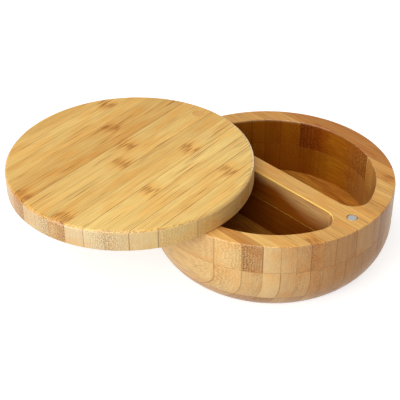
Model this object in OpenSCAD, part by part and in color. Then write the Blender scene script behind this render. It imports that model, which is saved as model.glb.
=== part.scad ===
// Round bamboo salt box: two half-moon pockets under a lid that swivels on a hidden screw.
//
// The lid and the box's three boards are glued up from bamboo strips that stand on edge, and
// each strip is a solid of its own, cut in two where a pocket crosses it. The lid has a middle
// strip. The box's boards have a glue line in the middle instead, and their glue lines meet
// from board to board. The divider is cut from the two strips beside that line, and the strips
// beyond them come in pairs, one on the left and one on the right.
//
// The box stands on Z = 0 with its axis on Z. X runs along the divider, from the pivot towards
// the magnet, and Y is to the left of that. The lid is drawn swung open.

/* [Box] */
// Outside diameter at the rim
box_d = 152; // [130:1:180]
// Thickness of the rim board, the upper one of the two that the pockets go through
rim_board_t = 19; // [17:0.5:26]
// Thickness of the wall board under it
wall_board_t = 20.7; // [15:0.1:30]
// Thickness of the base board, which closes both pockets
base_board_t = 12.4; // [8:0.1:18]
// Height from the table at which the side stands straight up
belly_h = 26; // [20:0.5:34]
// How far the flat foot is set in from the side
foot_inset = 12.6; // [8:0.1:18]
// Rounding of the rim's outer edge
rim_edge_r = 0.8; // [0.3:0.1:2]
// Strips on each side of the glue line in the middle of the rim board and the wall board
box_strips = 11; // [6:1:12]
// Width that is left of the outermost strip, in the box and in the lid
edge_strip_w = 4; // [2:0.1:6]

/* [Pockets] */
// Thickness of the wall outside the pockets
pocket_wall = 11.8; // [8:0.1:16]
// Thickness of the divider between the pockets
divider_t = 12; // [9:0.5:20]
// Radius of the pockets' corners
pocket_corner_r = 11; // [6:0.5:16]

/* [Lid] */
// Thickness of the lid
lid_t = 13.5; // [10:0.1:20]
// Rounding of the lid's upper edge
lid_top_edge_r = 2.1; // [0.5:0.1:4]
// Rounding of the lid's lower edge
lid_under_edge_r = 0.8; // [0.3:0.1:2]
// Gap between the lid and the rim
lid_gap = 0.2; // [0.1:0.05:0.5]
// Strips on each side of the lid's middle strip
lid_strips = 7; // [4:1:8]
// Angle by which the lid is drawn swung open, clockwise from above
lid_swing = 81; // [0:1:180]

/* [Pivot] */
// Distance of the pivot's axis from the outside
pivot_inset = 9; // [7:0.5:11]
// Diameter of the plug that covers the screw, and of the hole it sits in
plug_d = 7.2; // [6:0.1:9]
// Thickness of the plug
plug_t = 4; // [2:0.1:5]
// Outside diameter of the screw's thread and shank
screw_d = 3.5; // [3:0.1:4.5]
// Depth to which the screw's point reaches below the rim
screw_grip = 16; // [12:0.5:18]
// Height of the screw's head
screw_head_h = 2.2; // [1.6:0.1:3]
// Radius of the dome on the screw's head
screw_dome_r = 5.5; // [5:0.1:9]
// Width of the slots in the screw's head
drive_slot_w = 0.9; // [0.6:0.1:1.2]
// Depth of the slots in the screw's head
drive_slot_h = 1.2; // [0.8:0.1:1.5]
// Distance from one turn of the thread to the next
thread_pitch = 1.4; // [1:0.1:2]
// Depth of the thread
thread_depth = 0.45; // [0.3:0.05:0.6]
// Length of the screw's point
screw_point_l = 2.5; // [1.5:0.1:4]
// Thickness of the washer under the screw's head
washer_t = 0.5; // [0.4:0.1:1]

/* [Magnets] */
// Diameter of the two magnets, one in the rim and one under the lid
magnet_d = 6; // [4:0.5:8]
// Thickness of each magnet
magnet_t = 3; // [2:0.5:5]
// Distance of the magnets' centre from the outside
magnet_inset = 10.9; // [8:0.1:14]
// How far each magnet's face lies below the wood
magnet_sink = 0.3; // [0.1:0.05:0.6]
// Bevel on the magnets' edges
magnet_bevel = 0.3; // [0.1:0.05:0.5]

/* [Clearances] */
// Round the screw where the lid and the washer turn on it
turning_gap = 0.05; // [0.02:0.01:0.1]
// Round the washer in its hole, and round the head inside the washer's edge
washer_gap = 0.25; // [0.2:0.05:0.4]
// Between the washer and the wood under it
seat_gap = 0.05; // [0.02:0.01:0.1]
// Between the screw's head and the plug
head_gap = 0.3; // [0.2:0.05:0.6]
// Round the plug, for glue
plug_gap = 0.02; // [0.01:0.01:0.05]
// Round the thread in its hole
thread_gap = 0.02; // [0.01:0.01:0.05]
// Round the magnets, for glue
magnet_gap = 0.1; // [0.05:0.05:0.2]

/* [Hidden] */
$fn = 144;
// How far cutting shapes run past the wood
past = 1;
left = 1;
right = -1;

box_r = box_d / 2;
box_h = base_board_t + wall_board_t + rim_board_t;
rim_board_z = base_board_t + wall_board_t;
belly_r = (foot_inset * foot_inset + belly_h * belly_h) / (2 * foot_inset);
box_strip_w = (box_r - edge_strip_w) / (box_strips - 1);
lid_strip_w = (box_r - edge_strip_w) / (lid_strips - 1 / 2);
// The box is narrower at the foot, so the base board's outermost strip is the one before
base_strips = box_strips - 1;

pocket_r = box_r - pocket_wall;
pocket_corner_y = divider_t / 2 + pocket_corner_r;
pocket_corner_x = sqrt(pow(pocket_r - pocket_corner_r, 2) - pow(pocket_corner_y, 2));

pivot_r = box_r - pivot_inset;
magnet_r = box_r - magnet_inset;
magnet_hole_d = magnet_d + 2 * magnet_gap;
magnet_hole_h = magnet_t + magnet_sink;

lid_z = box_h + lid_gap;
plug_hole_d = plug_d + 2 * plug_gap;
plug_hole_h = plug_t + head_gap + screw_head_h + washer_t + seat_gap;
washer_z = lid_t - plug_hole_h + seat_gap;
screw_head_z = washer_z + washer_t;
washer_d = plug_hole_d - 2 * washer_gap;
screw_head_d = washer_d - 2 * washer_gap;
turning_hole_d = screw_d + 2 * turning_gap;
pilot_hole_d = screw_d + 2 * thread_gap;
pilot_hole_h = screw_grip + past;
thread_turns = floor((screw_grip - screw_point_l) / thread_pitch);

straw = "#e2c18a";
honey = "#d3a565";
amber = "#c2904f";
toast = "#a87840";
tones = [straw, honey, straw, amber, honey, straw, toast, honey, amber];

function tone(i) = tones[abs(i) % len(tones)];

function lid_strip_name(i) =
    i == 0 ? "lid_middle_strip" : str("lid_", i > 0 ? "left" : "right", "_strip_", abs(i));

function pair_name(board, i) = str(board, "_strip_pair_", i);

// A disc's half section with both edges rounded
module disc_section(r, t, top_r, under_r) {
    translate([0, under_r]) square([r, t - under_r - top_r]);
    square([r - under_r, t / 2]);
    translate([r - under_r, under_r]) circle(under_r);
    translate([0, t / 2]) square([r - top_r, t / 2]);
    translate([r - top_r, t - top_r]) circle(top_r);
}

// The box's half section: straight at the top, and curved in to the foot
module box_section() {
    translate([0, belly_h]) square([box_r, box_h - belly_h - rim_edge_r]);
    translate([0, belly_h]) square([box_r - rim_edge_r, box_h - belly_h]);
    translate([box_r - rim_edge_r, box_h - rim_edge_r]) circle(rim_edge_r);
    square([box_r - belly_r, belly_h]);
    intersection() {
        translate([box_r - belly_r, belly_h]) circle(belly_r);
        square([box_r, belly_h]);
    }
}

// One pocket's outline, on the left: a half-moon with two round corners
module pocket_outline() {
    corner = [pocket_corner_x, pocket_corner_y];
    beyond = corner * box_r / pocket_corner_x;
    intersection() {
        circle(pocket_r);
        polygon([
            [-corner.x, divider_t / 2],
            [corner.x, divider_t / 2],
            corner,
            beyond,
            [box_r, box_d],
            [-box_r, box_d],
            [-beyond.x, beyond.y],
            [-corner.x, corner.y]
        ]);
    }
    for (end = [-1, 1]) translate([end * corner.x, corner.y]) circle(pocket_corner_r);
}

// The left pocket, the screw's hole and the magnet's hole
module box_cuts() {
    translate([0, 0, base_board_t]) linear_extrude(box_h) pocket_outline();
    translate([-pivot_r, 0, box_h - pilot_hole_h]) cylinder(d = pilot_hole_d, h = pilot_hole_h + past);
    translate([magnet_r, 0, box_h - magnet_hole_h]) cylinder(d = magnet_hole_d, h = magnet_hole_h + past);
}

// A slab along X, from y0 to y1 and from z0 to z1
module slab(y0, y1, z0, z1) {
    translate([-box_d, y0, z0]) cube([2 * box_d, y1 - y0, z1 - z0]);
}

// Strip number i out of count, from the middle outwards, of the board from z0 to z1
module box_strip(i, count, side, z0, z1) {
    y1 = i == count ? box_d : i * box_strip_w;
    mirror([0, side == right ? 1 : 0, 0]) difference() {
        intersection() {
            rotate_extrude() box_section();
            slab((i - 1) * box_strip_w, y1, z0, z1);
        }
        box_cuts();
    }
}

// Turns the lid's own frame, with its centre at the origin, to where the lid is drawn
module on_lid() {
    translate([-pivot_r, 0, lid_z]) rotate([0, 0, -lid_swing]) translate([pivot_r, 0, 0]) children();
}

// Strip number i of the lid: 0 is the middle one, and the left is positive
module lid_strip(i) {
    y0 = i == -lid_strips ? -box_d : (i - 1 / 2) * lid_strip_w;
    y1 = i == lid_strips ? box_d : (i + 1 / 2) * lid_strip_w;
    color(tone(i)) on_lid() difference() {
        intersection() {
            rotate_extrude() disc_section(box_r, lid_t, lid_top_edge_r, lid_under_edge_r);
            slab(y0, y1, -past, lid_t + past);
        }
        translate([-pivot_r, 0, -past]) cylinder(d = turning_hole_d, h = lid_t + 2 * past);
        translate([-pivot_r, 0, lid_t - plug_hole_h]) cylinder(d = plug_hole_d, h = plug_hole_h + past);
        translate([magnet_r, 0, -past]) cylinder(d = magnet_hole_d, h = magnet_hole_h + past);
    }
}

module rim_strip(i, side) {
    color(tone(i)) box_strip(i, box_strips, side, rim_board_z, box_h + past);
}

module wall_strip(i, side) {
    color(tone(i + 2)) box_strip(i, box_strips, side, base_board_t, rim_board_z);
}

module base_strip(i, side) {
    color(tone(i + 4)) box_strip(i, base_strips, side, -past, base_board_t);
}

// A pan head with a cross recess on a shank that is threaded below the lid
module pivot_screw() {
    screw_r = screw_d / 2;
    root_r = screw_r - thread_depth;
    thread_top = -screw_head_z - lid_gap;
    thread_end = thread_top - thread_turns * thread_pitch;
    color("#b9bcc0") on_lid() translate([-pivot_r, 0, screw_head_z]) {
        difference() {
            rotate_extrude() intersection() {
                square([screw_head_d / 2, screw_head_h]);
                translate([0, screw_head_h - screw_dome_r]) circle(screw_dome_r);
            }
            for (turn = [0, 90]) rotate([0, 0, turn])
                translate([-screw_head_d / 4, -drive_slot_w / 2, screw_head_h - drive_slot_h])
                    cube([screw_head_d / 2, drive_slot_w, screw_head_h]);
        }
        rotate_extrude() polygon([
            [0, 0],
            [screw_r, 0],
            [screw_r, thread_top],
            for (k = [1:thread_turns]) each [
                [root_r, thread_top - (k - 1 / 2) * thread_pitch],
                [screw_r, thread_top - k * thread_pitch]
            ],
            [0, thread_end - screw_point_l]
        ]);
    }
}

module pivot_washer() {
    color("#c6c8ca") on_lid() translate([-pivot_r, 0, washer_z]) difference() {
        cylinder(d = washer_d, h = washer_t);
        translate([0, 0, -past]) cylinder(d = turning_hole_d, h = washer_t + 2 * past);
    }
}

module pivot_plug() {
    color("#b98a4e") on_lid() translate([-pivot_r, 0, lid_t - plug_t]) cylinder(d = plug_d, h = plug_t);
}

module magnet() {
    r = magnet_d / 2;
    rotate_extrude() polygon([
        [0, 0],
        [r - magnet_bevel, 0],
        [r, magnet_bevel],
        [r, magnet_t - magnet_bevel],
        [r - magnet_bevel, magnet_t],
        [0, magnet_t]
    ]);
}

module rim_magnet() {
    color("#c9ccd0") translate([magnet_r, 0, box_h - magnet_hole_h]) magnet();
}

module lid_magnet() {
    color("#c9ccd0") on_lid() translate([magnet_r, 0, magnet_sink]) magnet();
}

for (i = [-lid_strips:lid_strips]) {
    lid_strip(i);
}
rim_strip(1, left);  // rim_divider_left
rim_strip(1, right);  // rim_divider_right
wall_strip(1, left);  // wall_divider_left
wall_strip(1, right);  // wall_divider_right
base_strip(1, left);  // base_middle_left
base_strip(1, right);  // base_middle_right
for (side = [left, right]) {
    for (i = [2:box_strips]) {
        rim_strip(i, side);
        wall_strip(i, side);
    }
    for (i = [2:base_strips]) {
        base_strip(i, side);
    }
}
pivot_screw();
pivot_washer();
pivot_plug();
rim_magnet();
lid_magnet();
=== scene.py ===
"""Round bamboo salt box with a swivel lid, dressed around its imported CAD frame.

The three boards of the box and the lid are glued up from bamboo strips that stand on edge. The
wood is a solid texture: fibres run along the strips, so they show as dots where a strip is cut
across and as streaks where it is cut along.
"""

import math
import random

import bmesh
import bpy
from mathutils import Matrix, Vector


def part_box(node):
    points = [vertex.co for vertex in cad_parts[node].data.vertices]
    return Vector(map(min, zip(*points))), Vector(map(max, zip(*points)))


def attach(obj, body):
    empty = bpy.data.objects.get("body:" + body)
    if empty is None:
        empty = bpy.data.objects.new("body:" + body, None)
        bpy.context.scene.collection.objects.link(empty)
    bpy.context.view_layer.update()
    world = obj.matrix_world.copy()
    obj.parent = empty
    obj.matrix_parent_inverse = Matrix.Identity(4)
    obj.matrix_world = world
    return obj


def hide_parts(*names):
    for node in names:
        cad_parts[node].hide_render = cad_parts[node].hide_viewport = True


bl_info = {
    "name": "Bamboo salt box",
    "version": (1, 0, 0),
    "blender": (4, 5, 0),
    "location": "3D View > Sidebar > Salt Box",
    "description": "Builds the salt box's boards, plug and metal parts around the CAD frame",
    "category": "Object",
}

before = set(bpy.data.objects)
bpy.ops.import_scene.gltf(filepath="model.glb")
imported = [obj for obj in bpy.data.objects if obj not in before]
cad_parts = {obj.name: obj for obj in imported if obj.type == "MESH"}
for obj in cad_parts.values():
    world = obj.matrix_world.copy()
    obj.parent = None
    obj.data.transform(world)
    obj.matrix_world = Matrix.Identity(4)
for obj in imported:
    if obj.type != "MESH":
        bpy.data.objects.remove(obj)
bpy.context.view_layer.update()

MM = 0.001
LEFT, RIGHT = 1, -1

# Sizes that the frame gives
BOX_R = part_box("rim_divider_left")[1].x
BOX_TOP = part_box("rim_divider_left")[1].z
RIM_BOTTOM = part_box("rim_divider_left")[0].z
FLOOR_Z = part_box("base_middle_left")[1].z
BOX_STRIP_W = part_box("rim_divider_left")[1].y
LID_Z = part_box("lid_middle_strip")[0].z
LID_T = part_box("lid_middle_strip")[1].z - LID_Z
MAGNET_X = sum(c.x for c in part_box("rim_magnet")) / 2
MAGNET_R = (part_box("rim_magnet")[1].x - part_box("rim_magnet")[0].x) / 2
RIM_MAGNET_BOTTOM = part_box("rim_magnet")[0].z
PIVOT_X = sum(c.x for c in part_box("pivot_screw")) / 2
PLUG_R = (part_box("pivot_plug")[1].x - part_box("pivot_plug")[0].x) / 2
PLUG_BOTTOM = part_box("pivot_plug")[0].z - LID_Z
WASHER_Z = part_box("pivot_washer")[0].z - LID_Z

# The lid is turned this far from closed, round the screw
LID_SWING = math.radians(81)
PIVOT = Vector((PIVOT_X, 0, 0))
LID_PLACE = (
    Matrix.Translation(PIVOT + Vector((0, 0, LID_Z)))
    @ Matrix.Rotation(-LID_SWING, 4, "Z")
    @ Matrix.Translation(-PIVOT)
)

# The lid's strips on each side of the middle one, all as wide but for the outermost
LID_STRIPS = 7
LID_EDGE_STRIP_W = 4 * MM
LID_STRIP_W = (BOX_R - LID_EDGE_STRIP_W) / (LID_STRIPS - 0.5)

# The round belly below the box's upright side
BELLY_H = 26 * MM
BELLY_R = 33.13 * MM

# Holes, and the room round what sits in them
SCREW_HOLE_R = 1.77 * MM
SCREW_HOLE_DEPTH = 17 * MM
TURNING_HOLE_R = 1.8 * MM
RIM_MAGNET_ROOM = 0.25 * MM
LID_MAGNET_ROOM = 0.1 * MM
LID_MAGNET_HOLE_DEPTH = 3.3 * MM
WASHER_SEAT_ROOM = 0.05 * MM
PLUG_ROOM = 0.02 * MM

# How finely round shapes are drawn, and the angle from which an edge stays crisp
BOARD_SIDES = 240
MAGNET_SIDES = 40
PLUG_SIDES = 48
SCREW_SIDES = 32
CORNER_STEPS = 20
POCKET_WALL_STEPS = 110
DIVIDER_STEPS = 20
BELLY_STEPS = 14
CRISP_ANGLE = math.radians(38)

# A section line comes from this far to the side and goes off as far
STAND_OFF = 5 * MM


# The strips of each board, counted from its middle. "seen" gives the tone and the dots of the
# strips that stand out, from 0 to 1, and the others are drawn by chance. "knuckles" gives how
# far along a strip, in millimetres, the cane had a joint. "dark_lines" are the glue lines that
# show most, each with the number of the strip that begins at it. "side_spread" is how far the
# paler look of the turned side reaches from the end grain to the long grain. The plug is one
# piece, so its only strip is wider than it is.
NO_KNUCKLE = 110
KNUCKLE_SPAN = 256
WIDER_THAN_ALL = 1.0
TONES_BY_CHANCE = (0.3, 0.65)
DOTS_BY_CHANCE = (0.15, 0.6)
FAINT_LINES = (0.25, 0.6)
BOX_BOARD = {
    "tones": ("box_pale", "box_deep", "box_side_pale", "box_side_deep"),
    "width": BOX_STRIP_W, "first_line": 0.0, "side_spread": 0.6,
}
BOARDS = {
    "lid": {
        "tones": ("lid_pale", "lid_deep", "lid_side_pale", "lid_side_deep"),
        "width": LID_STRIP_W, "first_line": 0.5, "side_spread": 0.25,
        "strips": range(-LID_STRIPS, LID_STRIPS + 1), "seed": 3,
        "seen": {-2: (0.65, 1.0), -1: (0.36, 0.4), 0: (0.32, 0.9), 1: (0.48, 1.0),
                 2: (0.22, 0.2), 3: (0.04, 0.6), 4: (0.2, 0.65), 5: (0.16, 0.12), 6: (0.2, 0.3),
                 7: (0.4, 0.3)},
        "knuckles": {5: -26, 2: -30, -1: -10, 0: 7, 3: 19, 1: 69, -2: 67, -3: -19, -5: -40},
        "dark_lines": {3, 5, 6, -1},
    },
    "rim": {
        **BOX_BOARD, "strips": range(-11, 11), "seed": 2,
        "seen": {-11: (0.2, 0.4), -10: (0.1, 0.42), -9: (0.62, 1.0), -8: (0.12, 0.15),
                 -7: (0.2, 0.3), -6: (0.34, 0.45), -5: (0.36, 0.35), -4: (0.4, 0.4),
                 -3: (0.42, 0.3), -2: (0.46, 0.3), -1: (0.3, 0.2), 0: (0.3, 0.2), 1: (0.4, 0.3),
                 8: (0.9, 1.0), 9: (0.95, 0.5), 10: (0.95, 0.5)},
        "knuckles": {-7: -22, -5: 64, -2: -12, 1: 30, 3: -48, 6: 52, 8: -17, -10: -40},
        "dark_lines": {-8, -5, -3, -1, 3, 5},
    },
    "wall": {
        **BOX_BOARD, "strips": range(-11, 11), "seed": 5,
        "seen": {-11: (0.1, 0.4), -10: (0.1, 0.4), -9: (0.3, 0.4), -8: (0.05, 0.12),
                 -7: (0.27, 0.15), -6: (0.22, 0.5), -5: (0.34, 0.65), -4: (0.4, 0.4),
                 -3: (0.45, 0.3), -2: (0.45, 0.35), -1: (0.5, 0.3), 0: (0.5, 0.3),
                 6: (0.52, 0.4), 7: (0.52, 0.4), 8: (0.7, 0.5)},
        "knuckles": {-9: 10, -3: -30, 1: 66, 5: 15, 8: -40},
        "dark_lines": {-7, -5, -2, 3},
    },
    "base": {
        **BOX_BOARD, "strips": range(-10, 10), "seed": 9,
        "seen": {-9: (0.7, 0.5), -8: (0.75, 0.6), -7: (0.4, 0.4), 1: (0.3, 0.3), 2: (0.1, 0.3),
                 3: (0.25, 0.3), 4: (0.05, 0.3), 5: (0.2, 0.3), 6: (0.25, 0.3)},
        "knuckles": {-8: 22, -5: -18, -1: 40, 2: -52, 5: 8},
        "dark_lines": {-4, 0, 4},
    },
    "plug": {
        "tones": ("lid_pale", "lid_deep", "lid_pale", "lid_deep"),
        "width": WIDER_THAN_ALL, "first_line": 0.5, "side_spread": 0.6,
        "strips": range(0, 1), "seed": 12,
        "seen": {0: (0.38, 0.5)}, "knuckles": {}, "dark_lines": set(),
    },
}

# Heights of the seams below and above each of the box's boards. Those far off never show
FAR_BELOW, FAR_ABOVE = -1.0, 1.0
SEAMS = {
    "rim": (RIM_BOTTOM, FAR_ABOVE),
    "wall": (FLOOR_Z, RIM_BOTTOM),
    "base": (FAR_BELOW, FLOOR_Z),
}


def cad_nodes(*starts):
    return sorted(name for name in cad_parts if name.startswith(starts))


# ---------------------------------------------------------------- outlines and sections


def circle(radius, sides, centre=(0, 0)):
    """An outline that can grow: called with how far, it gives its points, anticlockwise."""

    def grown(by):
        turns = (2 * math.pi * k / sides for k in range(sides))
        r = radius + by
        return [(centre[0] + r * math.cos(a), centre[1] + r * math.sin(a)) for a in turns]

    return grown


def half_moon(side, sizes):
    """A pocket's outline: the wall's arc, two round corners and the divider's face."""
    wall, corner, face = sizes.pocket_r, sizes.pocket_corner_r, sizes.divider_t / 2
    corner_y = face + corner
    corner_x = math.sqrt((wall - corner) ** 2 - corner_y**2)
    meet = math.atan2(corner_y, corner_x)

    def arc(centre, radius, start, end, steps):
        turns = (start + (end - start) * k / steps for k in range(steps + 1))
        return [(centre[0] + radius * math.cos(a), centre[1] + radius * math.sin(a)) for a in turns]

    def grown(by):
        first = arc((corner_x, corner_y), corner + by, -math.pi / 2, meet, CORNER_STEPS)
        far_wall = arc((0, 0), wall + by, meet, math.pi - meet, POCKET_WALL_STEPS)[1:-1]
        last = arc((-corner_x, corner_y), corner + by, math.pi - meet, 1.5 * math.pi, CORNER_STEPS)
        shares = (2 * k / DIVIDER_STEPS - 1 for k in range(1, DIVIDER_STEPS))
        divider = [(corner_x * share, face - by) for share in shares]
        points = first + far_wall + last + divider
        if side == RIGHT:
            points = [(x, -y) for x, y in reversed(points)]
        return points

    return grown


def eased(points, steps=4):
    """A section line, (distance, height, rounding) each, with its corners rounded.

    The first and last points only say which way the line comes and goes, and are left out."""
    out = []
    for before, here, after in zip(points, points[1:], points[2:]):
        corner, radius = Vector(here[:2]), here[2]
        if not radius:
            out.append(tuple(corner))
            continue
        back = (Vector(before[:2]) - corner).normalized()
        ahead = (Vector(after[:2]) - corner).normalized()
        half = back.angle(ahead) / 2
        centre = corner + (back + ahead).normalized() * radius / math.sin(half)
        start = (corner + back * radius / math.tan(half) - centre).normalized()
        end = (corner + ahead * radius / math.tan(half) - centre).normalized()
        out += [tuple(centre + radius * start.slerp(end, k / steps)) for k in range(steps + 1)]
    return out


def board_section(radius, bottom, top, bottom_ease, top_ease):
    """A straight-sided board's section, as growth over BOX_R."""
    out = radius - BOX_R
    inside = out - STAND_OFF
    corners = [(out, bottom, bottom_ease), (out, top, top_ease)]
    return eased([(inside, bottom, 0), *corners, (inside, top, 0)])


def belly_x(height):
    """How far the box's side lies inside the rim at a height."""
    if height >= BELLY_H:
        return 0.0
    return math.sqrt(BELLY_R**2 - (BELLY_H - height) ** 2) - BELLY_R


def belly_section(bottom, top, bottom_ease, top_ease):
    """The section of a board on the curved part of the side."""
    heights = [bottom + (top - bottom) * k / BELLY_STEPS for k in range(BELLY_STEPS + 1)]
    side = [(belly_x(z), z, 0) for z in heights]
    side[0] = side[0][:2] + (bottom_ease,)
    side[-1] = side[-1][:2] + (top_ease,)
    first = (side[0][0] - STAND_OFF, bottom, 0)
    last = (side[-1][0] - STAND_OFF, top, 0)
    return eased([first] + side + [last], 3)


def cut_line(start, end, start_ease, end_ease):
    """The section of a cut that goes straight from one height to another."""
    corners = [(0, start, start_ease), (0, end, end_ease)]
    return eased([(STAND_OFF, start, 0), *corners, (STAND_OFF, end, 0)])


# ---------------------------------------------------------------- solids


def solid(name, outside, section, cuts=(), place=None):
    """A board: an outside outline lofted along a section, with holes cut into it.

    Each section and cut is a line of (growth, height) pairs. The outside goes from the bottom
    to the top. A cut is (outline, line, through) and goes from one face of the board inwards."""
    bm = bmesh.new()

    def loop(outline, growth, height):
        return [bm.verts.new((x, y, height)) for x, y in outline(growth)]

    def loft(outline, line):
        loops = [loop(outline, growth, height) for growth, height in line]
        for low, high in zip(loops, loops[1:]):
            for k in range(len(low)):
                j = (k + 1) % len(low)
                bm.faces.new((low[k], low[j], high[j], high[k]))
        return loops

    def edges_of(loops):
        pairs = ((ring[k - 1], ring[k]) for ring in loops for k in range(len(ring)))
        return [bm.edges.get(pair) for pair in pairs]

    def level(point):
        return round(point[1] / MM, 4)

    walls = loft(outside, section)
    faces = {level(section[0]), level(section[-1])}
    flats = {level(section[0]): [walls[0]], level(section[-1]): [walls[-1]]}
    for outline, line, through in cuts:
        loops = loft(outline, line)
        flats[level(line[0])].append(loops[0])
        flats.setdefault(level(line[-1]), []).append(loops[-1])
        if through != (level(line[-1]) in faces):
            raise ValueError(f"{name}: a cut ends at the wrong height")
    for loops in flats.values():
        bmesh.ops.triangle_fill(bm, edges=edges_of(loops), use_beauty=True, normal=(0, 0, 1))
    bmesh.ops.recalc_face_normals(bm, faces=bm.faces)
    if place:
        bm.transform(place)
    mesh = bpy.data.meshes.new(name)
    bm.to_mesh(mesh)
    bm.free()
    return show(name, mesh)


def show(name, mesh):
    """Links the mesh as an object, smooth across its roundings and crisp at its corners."""
    mesh.shade_smooth()
    mesh.set_sharp_from_angle(angle=CRISP_ANGLE)
    piece = bpy.data.objects.new(name, mesh)
    bpy.context.scene.collection.objects.link(piece)
    flats_stay_flat = piece.modifiers.new("Flat faces", "WEIGHTED_NORMAL")
    flats_stay_flat.keep_sharp = True
    return piece


def finish_piece(piece, material, body, replaced):
    piece.data.materials.append(material)
    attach(piece, body)
    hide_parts(*replaced)


# ---------------------------------------------------------------- shader graphs


def colour4(value):
    return (*value, 1.0)


class Graph:
    """Short ways to write a node tree. Values are sockets or plain numbers."""

    def __init__(self, tree):
        self.tree = tree

    def node(self, kind, **settings):
        made = self.tree.nodes.new("ShaderNode" + kind)
        for name, value in settings.items():
            setattr(made, name, value)
        return made

    def feed(self, socket, value):
        if isinstance(value, bpy.types.NodeSocket):
            self.tree.links.new(value, socket)
        elif value is not None:
            socket.default_value = value

    def fed(self, made, values):
        """The node's outputs, once its inputs have the values."""
        for label, value in values.items():
            self.feed(made.inputs[label], value)
        return made.outputs

    def placed(self, name, make, values):
        """A shared node group, made the first time that it is asked for, with these inputs."""
        tree = bpy.data.node_groups.get(name) or make(name)
        return self.fed(self.node("Group", node_tree=tree), values)

    def math(self, operation, a, b=None, c=None, clamp=False):
        made = self.node("Math", operation=operation, use_clamp=clamp)
        for socket, value in zip(made.inputs, (a, b, c)):
            self.feed(socket, value)
        return made.outputs[0]

    def add(self, a, b):
        return self.math("ADD", a, b)

    def minus(self, a, b):
        return self.math("SUBTRACT", a, b)

    def times(self, a, b):
        return self.math("MULTIPLY", a, b)

    def times_add(self, a, b, c):
        return self.math("MULTIPLY_ADD", a, b, c)

    def centred(self, noise):
        """A noise value, moved to lie round 0."""
        return self.minus(noise, 0.5)

    def larger(self, a, b):
        return self.math("MAXIMUM", a, b)

    def smaller(self, a, b):
        return self.math("MINIMUM", a, b)

    def size_of(self, a):
        return self.math("ABSOLUTE", a)

    def ramp(self, value, low, high, to_low=0.0, to_high=1.0, smooth=True):
        made = self.node("MapRange", interpolation_type="SMOOTHSTEP" if smooth else "LINEAR")
        return self.fed(made, {"Value": value, "From Min": low, "From Max": high,
                               "To Min": to_low, "To Max": to_high})[0]

    def fall(self, value, low, high):
        """A ramp the other way, from 1 down to 0."""
        return self.ramp(value, low, high, 1.0, 0.0)

    def band(self, value, rise, fall):
        """1 between a rise and a fall, each from one value to another, and 0 outside them."""
        return self.times(self.ramp(value, *rise), self.fall(value, *fall))

    def join(self, x, y, z=0.0):
        made = self.node("CombineXYZ")
        for socket, value in zip(made.inputs, (x, y, z)):
            self.feed(socket, value)
        return made.outputs[0]

    def split(self, vector):
        made = self.node("SeparateXYZ")
        self.feed(made.inputs[0], vector)
        return made.outputs

    def mix(self, share, a, b, blend="MIX"):
        made = self.node("Mix", data_type="RGBA", blend_type=blend)
        self.feed(made.inputs["Factor"], share)
        self.feed(made.inputs[6], a)
        self.feed(made.inputs[7], b)
        return made.outputs[2]

    def mix_value(self, share, a, b):
        made = self.node("Mix", data_type="FLOAT")
        for socket, value in zip(made.inputs, (share, None, a, b)):
            self.feed(socket, value)
        return made.outputs[0]

    def noise(self, vector, scale=1.0, detail=2.0, rough=0.5, colour=False):
        made = self.node("TexNoise", noise_dimensions="3D")
        self.fed(made, {"Vector": vector, "Scale": scale, "Detail": detail, "Roughness": rough})
        return made.outputs["Color" if colour else "Fac"]

    def grain(self, place, pattern, shift=0.0, **kind):
        """Noise at a place, stretched as the pattern says and shifted across the strips."""
        x, y, z = place
        along, across, up = pattern
        point = self.join(self.times(x, along), self.times_add(y, across, shift), self.times(z, up))
        return self.noise(point, **kind)

    def chance(self, a, b):
        """Three even random values from two numbers."""
        made = self.node("TexWhiteNoise", noise_dimensions="2D")
        self.feed(made.inputs["Vector"], self.join(a, b))
        return self.split(made.outputs["Color"])

    def bump(self, height, strength, depth):
        return self.fed(self.node("Bump"),
                        {"Strength": strength, "Distance": depth, "Height": height})[0]

    def surface(self, shader):
        self.fed(self.node("OutputMaterial"), {"Surface": shader})


def new_material(name):
    """An empty material, and the graph that fills it."""
    material = bpy.data.materials.new(name)
    material.use_nodes = True
    material.node_tree.nodes.clear()
    return material, Graph(material.node_tree)


def group(name, inputs, outputs, build):
    """A node group with named sockets: inputs are (name, kind, default), outputs (name, kind)."""
    tree = bpy.data.node_groups.new(name, "ShaderNodeTree")
    for label, kind, default in inputs:
        socket = tree.interface.new_socket(label, in_out="INPUT", socket_type="NodeSocket" + kind)
        if default is not None:
            socket.default_value = default
    for label, kind in outputs:
        tree.interface.new_socket(label, in_out="OUTPUT", socket_type="NodeSocket" + kind)
    given = tree.nodes.new("NodeGroupInput")
    result = tree.nodes.new("NodeGroupOutput")
    found = build(Graph(tree), {s.name: s for s in given.outputs})
    for label, _ in outputs:
        tree.links.new(found[label], result.inputs[label])
    return tree


# ---------------------------------------------------------------- the strips of a board


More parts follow.
